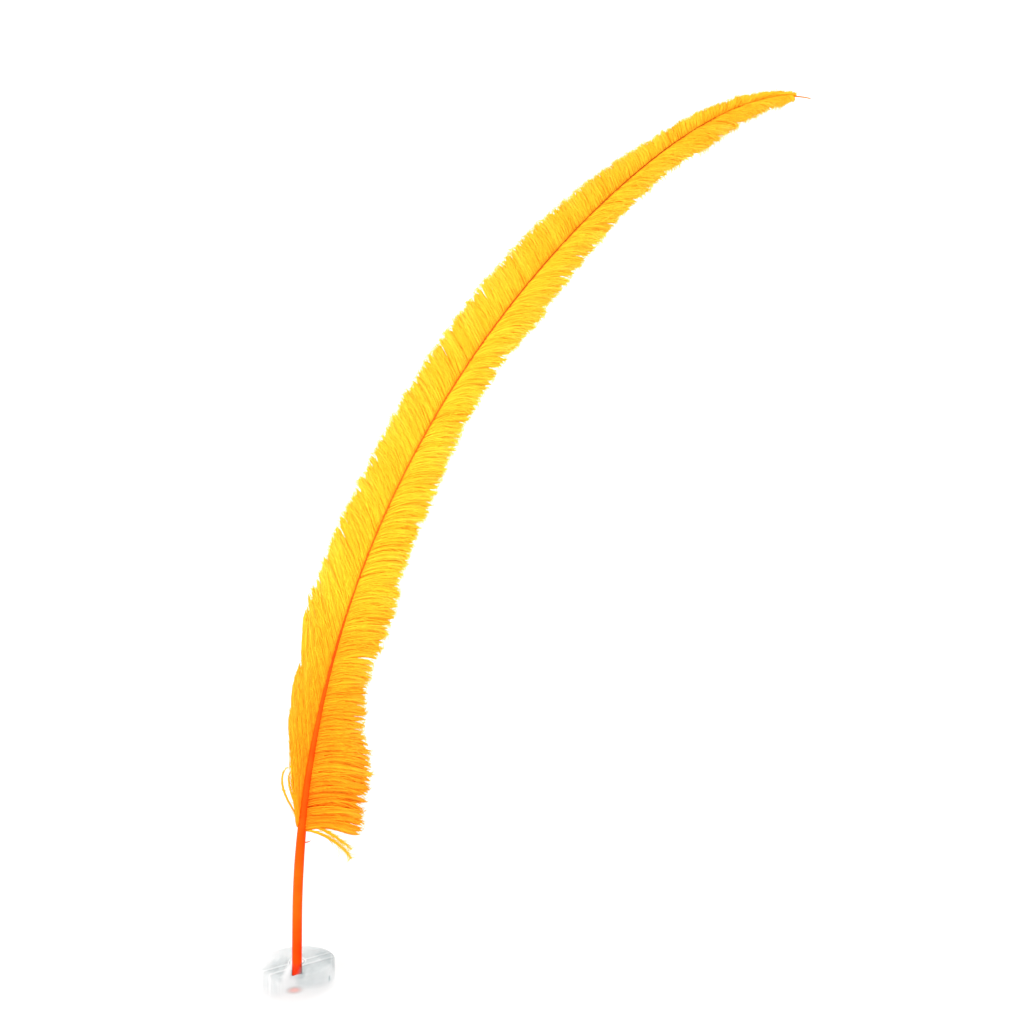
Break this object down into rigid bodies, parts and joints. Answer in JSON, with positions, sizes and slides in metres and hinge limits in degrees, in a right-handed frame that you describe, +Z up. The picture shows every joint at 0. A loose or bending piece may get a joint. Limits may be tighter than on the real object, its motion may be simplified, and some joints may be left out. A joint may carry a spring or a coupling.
{
  "type": "feather plume in a foot",
  "caption": "Dyed ostrich plume, orange to yellow, standing upright and bowing to one side, with its quill in a small clear round foot.",
  "frame": {"origin": "centre of the foot's underside, on the surface it stands on", "axes": "+Z up along the quill, +X the way the plume bows, -Y the way its broad face looks"},
  "size_m": [0.3307, 0.045, 0.5353],
  "materials": {
    "clear_glass": "clear, polished, soft round edges",
    "clear_silicone": "clear, soft satin",
    "quill_keratin": "smooth dyed keratin, satin gloss, faint lengthwise grain",
    "shaft_keratin": "smooth dyed keratin, satin, darker along the middle",
    "amber_barbs": "soft dyed barbs, orange at the root",
    "yellow_barbs": "soft dyed barbs, pale at the tips",
    "gold_barbs": "soft dyed barbs, golden",
    "stray_barbs": "single loose barbs, pale orange"
  },
  "bodies": {
    "foot": {"foot_block": "clear_glass"},
    "sleeve": {"socket_sleeve": "clear_silicone"},
    "quill": {"quill_barrel": "quill_keratin", "shaft_base": "quill_keratin", "left_lock_01": "amber_barbs", "left_lock_02": "amber_barbs", "left_lock_03": "amber_barbs", "left_lock_04": "amber_barbs", "right_lock_01": "amber_barbs", "right_lock_02": "amber_barbs", "right_lock_03": "amber_barbs", "right_lock_04": "amber_barbs", "stray_left_long": "stray_barbs", "stray_left_middle": "stray_barbs", "stray_left_short": "stray_barbs", "stray_right_upper": "stray_barbs", "stray_right_lower": "stray_barbs", "barb_stub": "quill_keratin"},
    "lower_plume": {"shaft_lower": "shaft_keratin", "left_lock_05": "yellow_barbs", "left_lock_06": "yellow_barbs", "left_lock_07": "yellow_barbs", "right_lock_05": "yellow_barbs", "right_lock_06": "yellow_barbs", "right_lock_07": "yellow_barbs"},
    "middle_plume": {"shaft_middle": "shaft_keratin", "left_lock_08": "yellow_barbs", "left_lock_09": "yellow_barbs", "left_lock_10": "yellow_barbs", "right_lock_08": "yellow_barbs", "right_lock_09": "yellow_barbs", "right_lock_10": "yellow_barbs"},
    "upper_plume": {"shaft_upper": "shaft_keratin", "left_lock_11": "yellow_barbs", "left_lock_12": "yellow_barbs", "left_lock_13": "gold_barbs", "right_lock_11": "yellow_barbs", "right_lock_12": "yellow_barbs", "right_lock_13": "gold_barbs"},
    "crown": {"shaft_crown": "shaft_keratin", "left_lock_14": "gold_barbs", "left_lock_15": "gold_barbs", "right_lock_14": "gold_barbs", "right_lock_15": "gold_barbs"},
    "plume_tip": {"shaft_tip": "shaft_keratin", "left_lock_16": "gold_barbs", "left_lock_17": "gold_barbs", "left_lock_18": "gold_barbs", "right_lock_16": "gold_barbs", "right_lock_17": "gold_barbs", "right_lock_18": "gold_barbs"}
  },
  "joints": [
    {"name": "quill_turn", "type": "hinge", "parent": "foot", "child": "sleeve", "pos_m": [0, 0, 0.0055], "axis": [0, 0, 1], "continuous": true},
    {"name": "quill_lift", "type": "slide", "parent": "sleeve", "child": "quill", "axis": [0, 0, 1], "range_m": [0, 0.02]},
    {"name": "lower_bow", "type": "hinge", "parent": "quill", "child": "lower_plume", "pos_m": [0.02333, 0, 0.2011], "axis": [0, 1, 0], "range_deg": [-5, 5], "stiffness_Nm_per_rad": 0.06, "springref_deg": -2.56},
    {"name": "middle_sway", "type": "hinge", "parent": "lower_plume", "child": "middle_plume", "pos_m": [0.05246, 0, 0.28138], "axis": [0.9137, 0, -0.4065], "range_deg": [-8, 8], "stiffness_Nm_per_rad": 0.035},
    {"name": "upper_bow", "type": "hinge", "parent": "middle_plume", "child": "upper_plume", "pos_m": [0.1015, 0, 0.37058], "axis": [0, 1, 0], "range_deg": [-7, 7], "stiffness_Nm_per_rad": 0.02, "springref_deg": -2.75},
    {"name": "crown_sway", "type": "hinge", "parent": "upper_plume", "child": "crown", "pos_m": [0.15591, 0, 0.4406], "axis": [0.7414, 0, -0.6711], "range_deg": [-9, 9], "stiffness_Nm_per_rad": 0.008},
    {"name": "tip_bow", "type": "hinge", "parent": "crown", "child": "plume_tip", "pos_m": [0.21308, 0, 0.49486], "axis": [0, 1, 0], "range_deg": [-9, 9], "stiffness_Nm_per_rad": 0.003, "springref_deg": -1.82}
  ]
}
